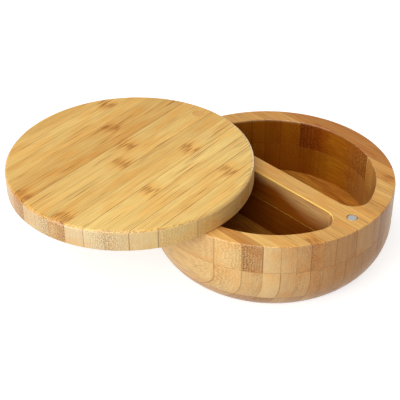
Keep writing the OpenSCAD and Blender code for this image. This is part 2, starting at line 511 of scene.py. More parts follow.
def strip_group(name):
    """Which strip a point is in, how far across it, and how near to a glue line."""

    def build(g, v):
        _, y, z = g.split(v["Vector"])
        across = g.add(g.math("DIVIDE", y, v["Strip Width"]), v["First Line"])
        number = g.larger(g.math("FLOOR", across), v["Lowest"])
        number = g.smaller(number, v["Highest"])
        line = g.larger(g.math("ROUND", across), g.add(v["Lowest"], 1.0))
        line = g.smaller(line, v["Highest"])
        to_line = g.times(g.size_of(g.minus(across, line)), v["Strip Width"])
        to_seam = g.smaller(g.size_of(g.minus(z, v["Seam Below"])),
                            g.size_of(g.minus(z, v["Seam Above"])))
        chance = g.chance(number, v["Board"])
        flip = g.math("GREATER_THAN", chance[0], 0.5)
        return {
            "Number": number,
            "Dense Side": g.size_of(g.minus(g.minus(across, number), flip)),
            "Line Number": line,
            "To Line": to_line,
            "To Seam": to_seam,
            "Shift": chance[2],
        }

    return group(
        name,
        [("Vector", "Vector", None), ("Strip Width", "Float", BOX_STRIP_W),
         ("First Line", "Float", 0.0), ("Lowest", "Float", -11.0), ("Highest", "Float", 10.0),
         ("Seam Below", "Float", FAR_BELOW), ("Seam Above", "Float", FAR_ABOVE),
         ("Board", "Float", 1.0)],
        [("Number", "Float"), ("Line Number", "Float"), ("Dense Side", "Float"),
         ("To Line", "Float"), ("To Seam", "Float"), ("Shift", "Float")],
        build,
    )


def stepped(g, number, first, colours):
    """A ramp with one flat step for each whole number from first on."""
    chart = g.node("ValToRGB")
    steps = chart.color_ramp
    steps.interpolation = "CONSTANT"
    while len(steps.elements) < len(colours):
        steps.elements.new(1.0)
    for place, (element, colour) in enumerate(zip(steps.elements, colours)):
        element.position = place / len(colours)
        element.color = colour4(colour)
    g.feed(chart.inputs["Fac"], g.math("DIVIDE", g.add(number, 0.5 - first), float(len(colours))))
    parts = g.node("SeparateColor")
    g.feed(parts.inputs[0], chart.outputs["Color"])
    return parts.outputs


def strip_chart(g, strips, board):
    """The tone, dots and knuckle of each strip, and how dark each glue line is."""
    chance = random.Random(board["seed"])
    looks, lines = [], []
    for strip in board["strips"]:
        by_chance = (chance.uniform(*TONES_BY_CHANCE), chance.uniform(*DOTS_BY_CHANCE))
        tone, dots = board["seen"].get(strip, by_chance)
        knuckle = board["knuckles"].get(strip, NO_KNUCKLE)
        looks.append((tone, dots, knuckle / KNUCKLE_SPAN + 0.5))
        faint = chance.uniform(*FAINT_LINES)
        lines.append((1.0 if strip in board["dark_lines"] else faint, 0.0, 0.0))
    first = board["strips"][0]
    tone, dots, knuckle = stepped(g, strips["Number"], first, looks)
    line = stepped(g, strips["Line Number"], first, lines)[0]
    knuckle = g.times_add(knuckle, KNUCKLE_SPAN, -KNUCKLE_SPAN / 2)
    return {"Tone": tone, "Fibre": dots, "Knuckle": knuckle, "Line": line}


# ---------------------------------------------------------------- the wood

# How often each pattern changes in a millimetre: along a strip, across it and up. The two that
# start at 1 are the same all along a strip, and take its own number as their place along it.
WAVER = (1.0, 0.35, 0.2)
END_LAYERS = (1.0, 0.7, 0.12)
PATCHES = (0.1, 1.0, 1.0)
DRIFT = (0.035, 0.1, 0.1)
FINE_GRAIN = (0.09, 2.4, 2.4)
MIDDLE_GRAIN = (0.04, 0.9, 0.6)
BROAD_GRAIN = (0.012, 0.16, 0.14)
THREADS = (0.028, 1.25, 1.25)
THREAD_GROUPS = (0.03, 0.2, 0.2)

# How far apart the patterns of two strips and of two boards start, and how far along a strip
# its own pattern can start, in millimetres
STRIP_STEP = 7.31
BOARD_STEP = 3.7
LONGEST_SHIFT = 900.0

# How far a knuckle's dark band, its halo and the waver of both reach along a strip, in
# millimetres, and the patches of the wood that the band shows in
KNUCKLE_BAND = ((-5.0, 0.0), (0.0, 8.0))
KNUCKLE_HALO = ((-14.0, -1.0), (1.0, 16.0))
KNUCKLE_WAVER = 17.0
KNUCKLE_PATCHES = (0.36, 0.62)

# Fibre bundles, measured in fibre pitches: how far they stray and how much more in a halo, their
# radius on the loose and on the dense side of a strip, how much a rounded edge adds to it, and
# where they fade out. Then how dark they are, from the palest to the darkest
STRAY = 1.8
HALO_STRAY = 1.2
BUNDLE_R = (0.30, 0.42)
EDGE_BUNDLE_R = 0.07
BUNDLE_FADE = (0.6, 1.1)
BUNDLE_DISORDER = 0.6
BUNDLE_SHADES = (0.6, 1.0)
DOT_SHADES = (0.7, 1.1)
COARSE_DOTS = (0.2, 0.45)

# What each grain adds to the tone, where the fine grain adds 1
MIDDLE_SHARE = 1.1
BROAD_SHARE = 0.8
LAYER_SHARE = 0.7

# Where in their noise the threads and their groups show, and what a halo adds
THREAD_RISE = (0.55, 0.66)
GROUP_RISE = (0.42, 0.62)
HALO_THREADS = 0.6

# Where in the drift the ruddy streaks show, and how ruddy a halo is
RUDDY_RISE = (0.4, 0.7)
HALO_RUDDY = 1.3

# How far from the middle of a line the glue shows, full and at all, and how the seams' lines
# follow the patches of the wood: from the first two values to the last two
GLUE_LINE = (0.06 * MM, 0.28 * MM)
SEAM_LINE = (0.05 * MM, 0.25 * MM)
SEAM_PATCHES = (0.35, 0.6, 0.3, 0.8)

# Where the box's side takes its pinker tone and painted shade at the magnet's end, in millimetres
FAR_TONE_AND_SHADE = (45.0, 76.0)

# What flat tops, fibres and the fine grain add to the roughness
SANDED_ROUGH = 0.18
FIBRE_ROUGH = 0.15
GRAIN_ROUGH = 0.25

# How high the fine grain stands and how deep the glue lines lie, where a fibre lies 1 deep
GRAIN_HEIGHT = 0.5
LINE_DEPTH = 0.7

# The sheen of flat tops and of turned sides, where a polished edge has 1
FLAT_SHEEN = 0.05
SIDE_SHEEN = 0.25

# Masks from the way that a surface faces. "up" is 1 on a flat top and 0 on an upright side, and
# "end on" is 1 where the strips are cut straight across and 0 where they are cut along.
ROUNDED_UP = ((0.2, 0.6), (0.93, 0.995))
POLISHED_UP = ((0.1, 0.4), (0.8, 0.98))
LIT_EDGE_UP = ((0.15, 0.45), (0.8, 0.98))
SIDE_UP = (0.25, 0.85)
TURNED_UP = (0.1, 0.4)
FLAT_UP = (0.8, 0.98)
CUT_END_ON = (0.05, 0.32)
SIDE_END_ON = (0.45, 0.92)


class WoodPoint:
    """A point of the wood in millimetres, its strip's own number, and how it faces."""

    def __init__(self, g, v):
        in_mm = g.fed(g.node("VectorMath", operation="SCALE"), {0: v["Vector"], "Scale": 1 / MM})
        self.x, y, z = g.split(in_mm[0])
        self.own = g.times_add(v["Number"], STRIP_STEP, g.times(v["Board"], BOARD_STEP))
        self.along = (g.times_add(v["Shift"], LONGEST_SHIFT, self.x), y, z)
        self.end = (self.own, y, z)
        nx, _, self.up = g.split(v["Normal"])
        self.end_on = g.size_of(nx)
        self.cut = g.ramp(self.end_on, *CUT_END_ON)
        self.edge = g.band(self.up, *ROUNDED_UP)


def knuckles(g, v, at):
    """Where the cane's joints were: the dark band, the halo round it, and patches in the wood."""
    waver = g.grain(at.end, WAVER, detail=4.0, rough=0.6)
    along = g.minus(at.x, g.times_add(g.centred(waver), KNUCKLE_WAVER, v["Knuckle"]))
    patch = g.grain(at.along, PATCHES, detail=3.0)
    band = g.times(g.band(along, *KNUCKLE_BAND), g.ramp(patch, *KNUCKLE_PATCHES))
    return band, g.band(along, *KNUCKLE_HALO), patch


def fibres(g, v, at, halo):
    """Fibre bundles, round in section, that drift as they run along. Also the drift's third
    value, which the ruddy streaks follow."""
    drift_across, drift_up, drift_tone = g.split(g.grain(at.along, DRIFT, at.own, colour=True))
    stray = g.times_add(halo, HALO_STRAY, STRAY)
    grid = g.math("DIVIDE", 1.0, v["Fibre Pitch"])
    _, y, z = at.along
    across = g.add(g.times_add(y, grid, at.own), g.times(g.centred(drift_across), stray))
    up = g.add(g.times(z, grid), g.times(g.centred(drift_up), stray))
    cells = g.fed(g.node("TexVoronoi", voronoi_dimensions="2D", feature="F1"),
                  {"Vector": g.join(across, up), "Scale": 1.0, "Randomness": BUNDLE_DISORDER})
    size = g.times_add(at.edge, EDGE_BUNDLE_R, g.ramp(v["Dense Side"], 0.0, 1.0, *BUNDLE_R))
    shade = g.split(cells["Color"])[0]
    bundle = g.fall(g.math("DIVIDE", cells["Distance"], size), *BUNDLE_FADE)
    bundle = g.times(bundle, g.ramp(shade, 0.0, 1.0, *BUNDLE_SHADES))
    # Where the fibres are cut across they are dots, and along the strip they are faint
    dots = g.times(v["Fibre"], g.ramp(v["Dense Side"], 0.0, 1.0, *DOT_SHADES))
    # The dots are coarsest on a rounded edge, where the oil gathers in them
    coarse = g.times(g.times(at.edge, at.cut), g.ramp(shade, *COARSE_DOTS))
    dots = g.larger(dots, g.times(coarse, v["Edge Dots"]))
    return g.times(bundle, g.mix_value(at.cut, v["Along Strength"], dots)), drift_tone


def wood_tone(g, v, at, fine):
    """The wood's tone between the fibres, from pale at 0 to deep at 1."""
    middle = g.grain(at.along, MIDDLE_GRAIN, at.own, detail=3.0, rough=0.6)
    broad = g.grain(at.along, BROAD_GRAIN, at.own)
    streaks = g.times_add(g.centred(middle), MIDDLE_SHARE, g.centred(fine))
    streaks = g.times_add(g.centred(broad), BROAD_SHARE, streaks)
    # End grain changes across a strip, hardly from its top to its bottom
    layers = g.grain(at.end, END_LAYERS, detail=3.0, rough=0.6)
    layers = g.times_add(g.centred(layers), LAYER_SHARE, g.centred(fine))
    streaks = g.mix_value(at.cut, streaks, layers)
    return g.math("MULTIPLY_ADD", streaks, v["Streak Strength"], v["Tone"], clamp=True)


def dark_threads(g, v, at, halo):
    """Dark threads in loose groups, and more of them beside a knuckle."""
    thread = g.grain(at.along, THREADS)
    groups = g.grain(at.along, THREAD_GROUPS, at.own, detail=1.0)
    groups = g.add(g.ramp(groups, *GROUP_RISE), g.times(halo, HALO_THREADS))
    thread = g.times(g.ramp(thread, *THREAD_RISE), groups)
    return g.times(g.times(thread, g.minus(1.0, at.cut)), v["Thread Strength"])


def glue_lines(g, v, patch):
    """The lines between strips, and patchy ones at the seams between boards."""
    line = g.times(g.fall(v["To Line"], *GLUE_LINE), v["Line"])
    seam = g.times(g.fall(v["To Seam"], *SEAM_LINE), g.ramp(patch, *SEAM_PATCHES))
    return g.larger(line, seam)


def bamboo_group(name):
    """The wood of one board, from a point in the board's own directions, X along the strips."""

    def build(g, v):
        at = WoodPoint(g, v)
        knuckle, halo, patch = knuckles(g, v, at)
        fibre, drift_tone = fibres(g, v, at, halo)
        fine = g.grain(at.along, FINE_GRAIN)
        tone = wood_tone(g, v, at, fine)
        line = glue_lines(g, v, patch)

        # The turned side is paler than the oiled top, most of all on end grain
        side = g.mix_value(g.ramp(at.end_on, *SIDE_END_ON), v["Side Spread"], 1.0)
        side = g.times(side, g.fall(at.up, *SIDE_UP))
        colour = g.mix(tone, v["Pale"], v["Deep"])
        colour = g.mix(side, colour, g.mix(tone, v["Side Pale"], v["Side Deep"]))
        colour = g.mix(at.edge, colour, v["Edge Tint"], blend="MULTIPLY")
        # The side at the magnet's end, turned from the lamps, gets a pinker tone and painted shade
        far = g.times(side, g.ramp(at.x, *FAR_TONE_AND_SHADE))
        colour = g.mix(far, colour, v["Far Tint"], blend="MULTIPLY")
        ruddy = g.ramp(drift_tone, *RUDDY_RISE, 0.0, v["Ruddy Strength"])
        ruddy = g.larger(ruddy, g.times(g.times(halo, HALO_RUDDY), v["Ruddy Strength"]))
        colour = g.mix(ruddy, colour, v["Ruddy Tint"], blend="MULTIPLY")
        colour = g.mix(dark_threads(g, v, at, halo), colour, v["Knuckle Colour"])
        colour = g.mix(fibre, colour, v["Fibre Colour"])
        colour = g.mix(g.times(knuckle, v["Knuckle Strength"]), colour, v["Knuckle Colour"])
        colour = g.mix(g.times(line, v["Glue Strength"]), colour, v["Glue Colour"])

        # Flat tops are sanded dull
        sanded = g.times_add(g.ramp(at.up, *FLAT_UP), SANDED_ROUGH, v["Roughness"])
        rough = g.times_add(g.centred(fine), GRAIN_ROUGH, sanded)
        rough = g.times_add(fibre, FIBRE_ROUGH, rough)
        height = g.minus(g.times(fine, GRAIN_HEIGHT), g.times_add(line, LINE_DEPTH, fibre))
        # Rounded edges are polished, turned sides have a little sheen and flat tops hardly any
        sheen = g.mix_value(g.band(at.up, *POLISHED_UP), FLAT_SHEEN, 1.0)
        sheen = g.mix_value(g.fall(at.up, *TURNED_UP), sheen, SIDE_SHEEN)
        return {"Color": colour, "Roughness": rough, "Height": height, "Sheen": sheen}

    grey = (0.5, 0.5, 0.5, 1)
    return group(
        name,
        [("Vector", "Vector", None), ("Normal", "Vector", None), ("Number", "Float", 0.0),
         ("Dense Side", "Float", 0.5), ("To Line", "Float", 1.0), ("To Seam", "Float", 1.0),
         ("Shift", "Float", 0.0), ("Board", "Float", 1.0),
         ("Tone", "Float", 0.5), ("Fibre", "Float", 0.5), ("Knuckle", "Float", 0.0),
         ("Line", "Float", 0.5),
         ("Pale", "Color", grey), ("Deep", "Color", grey),
         ("Side Pale", "Color", grey), ("Side Deep", "Color", grey), ("Side Spread", "Float", 0.0),
         ("Fibre Colour", "Color", grey), ("Fibre Pitch", "Float", 1.0),
         ("Edge Dots", "Float", 0.5), ("Edge Tint", "Color", grey), ("Far Tint", "Color", grey),
         ("Along Strength", "Float", 0.3), ("Streak Strength", "Float", 0.5),
         ("Thread Strength", "Float", 0.5), ("Ruddy Tint", "Color", grey),
         ("Ruddy Strength", "Float", 0.5),
         ("Knuckle Colour", "Color", grey), ("Knuckle Strength", "Float", 0.5),
         ("Glue Colour", "Color", grey), ("Glue Strength", "Float", 0.5),
         ("Roughness", "Float", 0.4)],
        [("Color", "Color"), ("Roughness", "Float"), ("Height", "Float"), ("Sheen", "Float")],
        build,
    )


# ---------------------------------------------------------------- the pockets

# Places in the pockets. Those in X go from the pivot's end to the magnet's end, and those in Y
# go out from the divider's middle
SOAKED_AND_SHADED_R = 64.6 * MM
SOAKED_AND_SHADED_EDGE = 0.3 * MM
BESIDE_DIVIDER_Y = (8 * MM, 12 * MM)
FADE_GROWS_X = (5 * MM, 40 * MM)
MAGNET_END_X = (0.0, 30 * MM)
AWAY_FROM_DIVIDER_Y = (14 * MM, 24 * MM)
POCKET_WALL_UP = (0.3, 0.7)
POCKET_END_ON = (0.0, 0.42)

# The divider's fade at the pivot's end and at the magnet's, as shares of the setting, which paints
# the lid's shadow on the divider; the painted shade of the floors where the walls have 1; and how
# much of it the magnet's end loses to painted light. Then what the oil adds to the roughness,
# and what it takes from the sheen
DIVIDER_FADE_SHARES = (0.5, 1.2)
POCKET_FLOOR_SHADE = 0.74
PAINTED_END_LIGHT = 0.45
SOAKED_ROUGH = 0.2
SOAKED_DULL = 0.8


def pocket_group(name):
    """Paints shade and bounced colour into the pockets, whose cut wood is rough and oil-soaked."""

    def build(g, v):
        x, y, z = g.split(v["Vector"])
        nx, _, up = g.split(v["Normal"])
        out = g.math("SQRT", g.add(g.times(x, x), g.times(y, y)))
        inside = g.fall(out, v["Radius"], g.add(v["Radius"], SOAKED_AND_SHADED_EDGE))
        wall = g.fall(up, *POCKET_WALL_UP)
        beside_divider = g.fall(g.size_of(y), *BESIDE_DIVIDER_Y)
        divider = g.times(beside_divider, wall)

        # The painted shade fades out below the rim. On the divider it fades from further
        # down, and from furthest at the magnet's end, so that the lid's painted shadow
        # comes up nearest the top at the pivot's end
        divider_fade = g.times(v["Divider Fade"], g.ramp(x, *FADE_GROWS_X, *DIVIDER_FADE_SHARES))
        fade = g.mix_value(divider, v["Fade"], divider_fade)
        deep = g.fall(z, g.minus(v["Top"], fade), v["Top"])
        # Floors get less painted shade than walls, as they face the light from above
        soaked_and_shaded = g.times(g.times(inside, deep), g.ramp(wall, 0.0, 1.0, POCKET_FLOOR_SHADE, 1.0))
        # Painted light: walls at the magnet's end get less painted shade, and none on end grain
        away = g.ramp(g.size_of(y), *AWAY_FROM_DIVIDER_Y)
        lit_end = g.times(g.times(g.ramp(x, *MAGNET_END_X), away), wall)
        soaked_and_shaded = g.times(soaked_and_shaded, g.times_add(lit_end, -PAINTED_END_LIGHT, 1.0))

        # The painted shade multiplies the wood's colour, and is deeper on end grain in the walls
        end_grain = g.times(g.ramp(g.size_of(nx), *POCKET_END_ON), g.minus(1.0, lit_end))
        shading = g.mix(g.times(end_grain, wall), v["Stain"], v["End Stain"])
        # The divider's faces take the lid's painted shadow as a darker colour
        shading = g.mix(divider, shading, v["Divider Stain"])
        colour = g.mix(soaked_and_shaded, v["Color"], shading, blend="MULTIPLY")
        # Painted highlight: the divider's rounded edges are drawn pale
        lit = g.times(g.band(up, *LIT_EDGE_UP), g.times(inside, beside_divider))
        colour = g.mix(g.times(lit, v["Wear"]), colour, v["Worn"])
        return {"Color": colour, "Soaked": soaked_and_shaded}

    grey = (0.5, 0.5, 0.5, 1)
    return group(
        name,
        [("Color", "Color", grey), ("Vector", "Vector", None), ("Normal", "Vector", None),
         ("Radius", "Float", SOAKED_AND_SHADED_R), ("Top", "Float", BOX_TOP), ("Fade", "Float", 2 * MM),
         ("Divider Fade", "Float", 16 * MM), ("Stain", "Color", grey),
         ("End Stain", "Color", grey), ("Divider Stain", "Color", grey),
         ("Worn", "Color", grey), ("Wear", "Float", 0.5)],
        [("Color", "Color"), ("Soaked", "Float")],
        build,
    )


# ---------------------------------------------------------------- materials


def own_frame(g, coords, turned, fibres_up):
    """A point and the surface's normal there, both turned into the board's own directions."""
    turn = Vector((0, math.pi / 2, 0)) if fibres_up else Vector((0, 0, turned))
    place = g.fed(g.node("Mapping", vector_type="POINT"), {
        "Vector": coords["Object"], "Rotation": turn,
        "Location": PIVOT - Matrix.Rotation(turned, 3, "Z") @ PIVOT,
    })
    facing = g.fed(g.node("Mapping", vector_type="NORMAL"),
                   {"Vector": coords["Normal"], "Rotation": turn})
    return place[0], facing[0]


def wood_settings(look, part):
    """The settings of the bamboo group for one board."""
    board = BOARDS[part]
    labels = ("Pale", "Deep", "Side Pale", "Side Deep")
    tones = {label: colour4(getattr(look, tone)) for label, tone in zip(labels, board["tones"])}
    return {
        **tones, "Board": board["seed"], "Side Spread": board["side_spread"],
        "Edge Dots": look.edge_dots, "Edge Tint": colour4(look.edge),
        "Far Tint": colour4((1, 1, 1) if part == "lid" else look.far_tone_and_shade),
        "Fibre Colour": colour4(look.fibre), "Fibre Pitch": look.fibre_pitch / MM,
        "Along Strength": look.along_strength, "Streak Strength": look.streak_strength,
        "Thread Strength": look.thread_strength,
        "Ruddy Tint": colour4(look.ruddy), "Ruddy Strength": look.ruddy_strength,
        "Knuckle Colour": colour4(look.knuckle), "Knuckle Strength": look.knuckle_strength,
        "Glue Colour": colour4(look.glue), "Glue Strength": look.glue_strength,
        "Roughness": look.roughness,
    }


def pocket_settings(look):
    """The settings of the pocket group."""
    return {
        "Fade": look.pocket_fade, "Divider Fade": look.divider_fade,
        "Stain": colour4(look.pocket_shading), "End Stain": colour4(look.pocket_end_shading),
        "Divider Stain": colour4(look.divider_shading),
        "Worn": colour4(look.divider_highlight), "Wear": look.highlight_strength,
    }


def bamboo_material(name, look, part, turned=0.0, fibres_up=False):
    """A board's material. turned is the angle from the frame to the board's own directions."""
    board = BOARDS[part]
    below, above = SEAMS.get(part, (FAR_BELOW, FAR_ABOVE))
    material, g = new_material(name)
    coords = g.node("TexCoord").outputs
    point, facing = own_frame(g, coords, turned, fibres_up)
    strips = g.placed("Strips", strip_group, {
        "Vector": point, "Strip Width": board["width"], "First Line": board["first_line"],
        "Lowest": board["strips"][0], "Highest": board["strips"][-1],
        "Seam Below": below, "Seam Above": above, "Board": board["seed"],
    })
    passed_on = ("Number", "Dense Side", "To Line", "To Seam", "Shift")
    wood = g.placed("Glued bamboo", bamboo_group, {
        "Vector": point, "Normal": facing, **{label: strips[label] for label in passed_on},
        **strip_chart(g, strips, board), **wood_settings(look, part),
    })
    colour, rough = wood["Color"], wood["Roughness"]
    sheen = g.times(wood["Sheen"], look.oil)
    if part in SEAMS:
        pocket = g.placed("Pocket wood", pocket_group, {
            "Color": colour, "Vector": coords["Object"], "Normal": coords["Normal"],
            **pocket_settings(look),
        })
        # The pocket's colour carries painted shade.
        # Soaked wood is rougher and has lost most of its sheen
        colour = pocket["Color"]
        rough = g.times_add(pocket["Soaked"], SOAKED_ROUGH, rough)
        sheen = g.times(sheen, g.times_add(pocket["Soaked"], -SOAKED_DULL, 1.0))
    g.surface(g.fed(g.node("BsdfPrincipled"), {
        "Base Color": colour, "Roughness": rough, "Specular IOR Level": look.specular,
        "Coat Weight": sheen, "Coat Roughness": look.oil_roughness,
        "Normal": g.bump(wood["Height"], look.relief, look.relief_depth),
    })[0])
    return material


SMEARS_PER_METRE = 900.0
PITS_PER_METRE = 5200.0
PIT_DEPTH = 0.02 * MM
SMEAR_SHARE = 0.35
SMEAR_SHADE = 0.72
SMEAR_ROUGH = (-0.07, 0.1)


def metal_material(name, colour, roughness, pitting):
    """Plated metal with faint smears and a finely pitted surface."""
    material, g = new_material(name)
    coords = g.node("TexCoord").outputs
    smear = g.noise(coords["Object"], SMEARS_PER_METRE, 3.0)
    pits = g.noise(coords["Object"], PITS_PER_METRE, 2.0)
    smeared = colour4([part * SMEAR_SHADE for part in colour])
    least, most = (roughness + change for change in SMEAR_ROUGH)
    g.surface(g.fed(g.node("BsdfPrincipled"), {
        "Base Color": g.mix(g.ramp(smear, 0.3, 0.7, 0.0, SMEAR_SHARE), colour4(colour), smeared),
        "Metallic": 1.0,
        "Roughness": g.ramp(smear, 0.2, 0.8, least, most),
        "Normal": g.bump(pits, pitting, PIT_DEPTH),
    })[0])
    return material


# ---------------------------------------------------------------- settings


def length(name, description, mm):
    return bpy.props.FloatProperty(
        name=name, description=description, default=mm * MM, min=0, unit="LENGTH", precision=5)


def share(name, description, value):
    return bpy.props.FloatProperty(
        name=name, description=description, default=value, min=0, max=2, subtype="FACTOR")


def power(name, description, watts):
    return bpy.props.FloatProperty(
        name=name, description=description, default=watts, min=0, unit="POWER")


def tint(name, description, hexcode):
    """A colour setting. The default is written as in a paint chart and kept as linear light."""
    parts = [int(hexcode[k:k + 2], 16) / 255 for k in (1, 3, 5)]
    linear = [p / 12.92 if p <= 0.04045 else ((p + 0.055) / 1.055) ** 2.4 for p in parts]
    return bpy.props.FloatVectorProperty(
        name=name, description=description, default=linear, min=0, max=1, size=3, subtype="COLOR")


class BoardSizes(bpy.types.PropertyGroup):
    """Sizes of the boards, and of the roundings that a sander leaves"""

    pocket_r: length("Pocket radius", "Radius of the pockets' outer wall", 64.2)
    divider_t: length("Divider", "Thickness of the divider", 12)
    pocket_corner_r: length("Pocket corners", "Radius of the pockets' corners", 11)
    lid_top_edge: length("Lid top edge", "Rounding of the lid's upper edge", 2.1)
    lid_under_edge: length("Lid lower edge", "Rounding of the lid's lower edge", 0.8)
    rim_edge: length("Rim edge", "Rounding of the rim's outer edge", 0.8)
    pocket_edge: length("Pocket edge", "Rounding of the pockets' upper edges", 0.75)
    foot_edge: length("Foot edge", "Rounding of the foot's edge", 0.7)
    seam_edge: length("Seams", "Rounding of the boards' edges at the seams between them", 0.1)
    plug_depth: length("Plug depth", "How far the plug sits below the lid's top", 0.25)
    sanded: length("Sanded off", "What the last sanding takes off the outside", 0.03)
    hole_edge: length("Hole edges", "Rounding of the edges of the drilled holes", 0.15)


class BambooLook(bpy.types.PropertyGroup):
    """Colours and finish of the bamboo"""

    lid_pale: tint("Lid, pale", "Palest tone of the lid's top", "#f9d482")
    lid_deep: tint("Lid, deep", "Darkest tone of the lid's top", "#d1994c")
    lid_side_pale: tint("Lid side, pale", "Palest tone of the lid's side", "#efd6a6")
    lid_side_deep: tint("Lid side, deep", "Darkest tone of the lid's side", "#be8f58")
    box_pale: tint("Box, pale", "Palest tone of the rim's top", "#f5c472")
    box_deep: tint("Box, deep", "Darkest tone of the rim's top", "#bb7937")
    box_side_pale: tint("Box side, pale", "Palest tone of the box's side", "#ebca93")
    box_side_deep: tint("Box side, deep", "Darkest tone of the box's side", "#a06d3e")
    ruddy: tint("Ruddy tint", "Tint of the ruddy streaks", "#ffe6c4")
    edge: tint("Rounded edges", "Tint of the rounded edges, where oil gathers", "#fff7e2")
    # A pinker tone and painted shade on the side at the magnet's end
    far_tone_and_shade: tint("Magnet end", "Tint of the side at the magnet's end", "#fae0c2")
    fibre: tint("Fibres", "Colour of the fibre bundles", "#75431a")
    knuckle: tint("Knuckles", "Colour of the cane's joints", "#94501c")
    glue: tint("Glue lines", "Colour of the lines between strips", "#82481e")
    # Painted shade: these colours and fades stand in for the shade and the deep bounced colour inside
    # the pockets, and for the lid's shadow on the divider
    pocket_shading: tint("Pocket stain", "Tint of the oil-soaked pockets", "#f2ce48")
    pocket_end_shading: tint("Pocket end stain", "Tint of the end grain in the pockets", "#b9881a")
    divider_shading: tint("Divider stain", "Tint of the divider's faces", "#a8741e")
    pocket_fade: length("Pocket fade", "How far below the rim the pockets' stain is full", 2)
    divider_fade: length("Divider fade", "The same on the divider's faces", 16)
    # Painted highlight on the divider's rounded edges
    divider_highlight: tint("Worn edges", "Colour of the divider's rubbed edges", "#ffdc66")
    highlight_strength: share("Wear", "How rubbed the divider's edges are", 1.0)
    fibre_pitch: length("Fibre pitch", "Distance between fibre bundles", 0.9)
    edge_dots: share("Edge dots", "How plainly fibres show on rounded edges", 0.6)
    along_strength: share("Fibres along", "How plainly fibres show along the grain", 0.16)
    streak_strength: share("Streaks", "How much the tone changes along the grain", 0.65)
    thread_strength: share("Threads", "How dark the threads along the grain are", 0.6)
    ruddy_strength: share("Ruddy streaks", "How ruddy the ruddy streaks are", 0.6)
    knuckle_strength: share("Knuckle strength", "How dark the cane's joints are", 0.65)
    glue_strength: share("Glue strength", "How plainly the lines between strips show", 0.7)
    roughness: share("Roughness", "Roughness of the sanded wood", 0.45)
    specular: share("Shine", "How much light the wood under the oil reflects", 0.12)
    oil: share("Oil", "Strength of the oil's sheen", 1.0)
    oil_roughness: share("Oil roughness", "Roughness of the oil's sheen", 0.06)
    relief: share("Relief", "How plainly the grain and the glue lines stand out", 0.4)
    relief_depth: length("Relief depth", "Depth of the grain and the glue lines", 0.04)


class MetalLook(bpy.types.PropertyGroup):
    """Finish of the metal parts"""

    nickel: tint("Nickel", "Colour of the magnets' plating", "#a8a6a1")
    zinc: tint("Zinc", "Colour of the screw's and the washer's plating", "#b9bcc0")
    roughness: share("Roughness", "Roughness of the plating", 0.38)
    nickel_pitting: share("Nickel pitting", "Unevenness of the magnets' plating", 0.15)
    zinc_pitting: share("Zinc pitting", "Unevenness of the screw's and washer's plating", 0.3)


class StageLook(bpy.types.PropertyGroup):
    """Camera, floor and lights"""

    eye: bpy.props.FloatVectorProperty(
        name="Camera place", description="Where the camera stands", size=3,
        default=(0.3560, -0.3838, 0.3979), subtype="TRANSLATION", unit="LENGTH")
    aim: bpy.props.FloatVectorProperty(
        name="Camera turn", description="How the camera is turned", size=3,
        default=(math.radians(54.915), math.radians(0.435), math.radians(47.424)), subtype="EULER")
    lens: bpy.props.FloatProperty(
        name="Lens", description="Focal length for a 36 mm sensor", default=90.8, unit="CAMERA")
    floor: tint("Floor", "Colour of the floor", "#cccccb")
    floor_glow: share("Floor glow", "Light that the floor adds for the camera", 0.7)
    sky: share("Sky", "Strength of the light from all around", 0.225)
    key: power("Key light", "Power of the low lamp on the camera's left", 5.3)
    fill: power("Fill light", "Power of the lamp over the camera", 7.4)
    top: power("Top light", "Power of the lamp above the box", 7.0)
    back: power("Back light", "Power of the low lamp behind", 3.2)


# ---------------------------------------------------------------- operators


def pocket_cuts(sizes, start, end, start_ease, end_ease):
    line = cut_line(start, end, start_ease, end_ease)
    return [(half_moon(side, sizes), line, True) for side in (LEFT, RIGHT)]


def rim_holes(sizes):
    """The rim magnet's hole and the screw's."""
    magnet_hole = circle(MAGNET_R + RIM_MAGNET_ROOM, MAGNET_SIDES, (MAGNET_X, 0))
    screw_hole = circle(SCREW_HOLE_R, SCREW_SIDES, (PIVOT_X, 0))
    return [
        (magnet_hole, cut_line(BOX_TOP, RIM_MAGNET_BOTTOM, sizes.hole_edge, 0), False),
        (screw_hole, cut_line(BOX_TOP, BOX_TOP - SCREW_HOLE_DEPTH, 0, 0), False),
    ]


def lid_holes(sizes):
    """The stepped hole for the screw, the washer and the plug, and the lid magnet's hole."""
    turning_hole = circle(TURNING_HOLE_R, PLUG_SIDES, (PIVOT_X, 0))
    magnet_hole = circle(MAGNET_R + LID_MAGNET_ROOM, MAGNET_SIDES, (MAGNET_X, 0))
    seat = WASHER_Z - WASHER_SEAT_ROOM
    wider = PLUG_R + PLUG_ROOM - TURNING_HOLE_R
    mouth = eased([(wider, seat, 0), (wider, LID_T, sizes.hole_edge), (wider + STAND_OFF, LID_T, 0)])
    return [
        (turning_hole, [(0, 0), (0, seat), (wider, seat), *mouth], True),
        (magnet_hole, cut_line(0, LID_MAGNET_HOLE_DEPTH, sizes.hole_edge, 0), False),
    ]


class SALTBOX_OT_box_boards(bpy.types.Operator):
    """Make the three boards that the box is turned from"""

    bl_idname = "saltbox.box_boards"
    bl_label = "Box boards"

    def execute(self, context):
        sizes = context.scene.saltbox_boards
        look = context.scene.saltbox_bamboo
        seam = sizes.seam_edge
        outside = circle(BOX_R - sizes.sanded, BOARD_SIDES)
        rim_cuts = pocket_cuts(sizes, BOX_TOP, RIM_BOTTOM, sizes.pocket_edge, seam)
        boards = {
            "rim": (board_section(BOX_R, RIM_BOTTOM, BOX_TOP, seam, sizes.rim_edge),
                    rim_cuts + rim_holes(sizes)),
            "wall": (belly_section(FLOOR_Z, RIM_BOTTOM, seam, seam),
                     pocket_cuts(sizes, RIM_BOTTOM, FLOOR_Z, seam, 0)),
            "base": (belly_section(0, FLOOR_Z, sizes.foot_edge, seam), ()),
        }
        for board, (section, cuts) in boards.items():
            piece = solid(board + "_board", outside, section, cuts)
            nodes = [n for n in cad_nodes(board + "_") if not n.endswith("magnet")]
            material = bamboo_material(board + " bamboo", look, board)
            finish_piece(piece, material, "box", nodes)
        return {"FINISHED"}


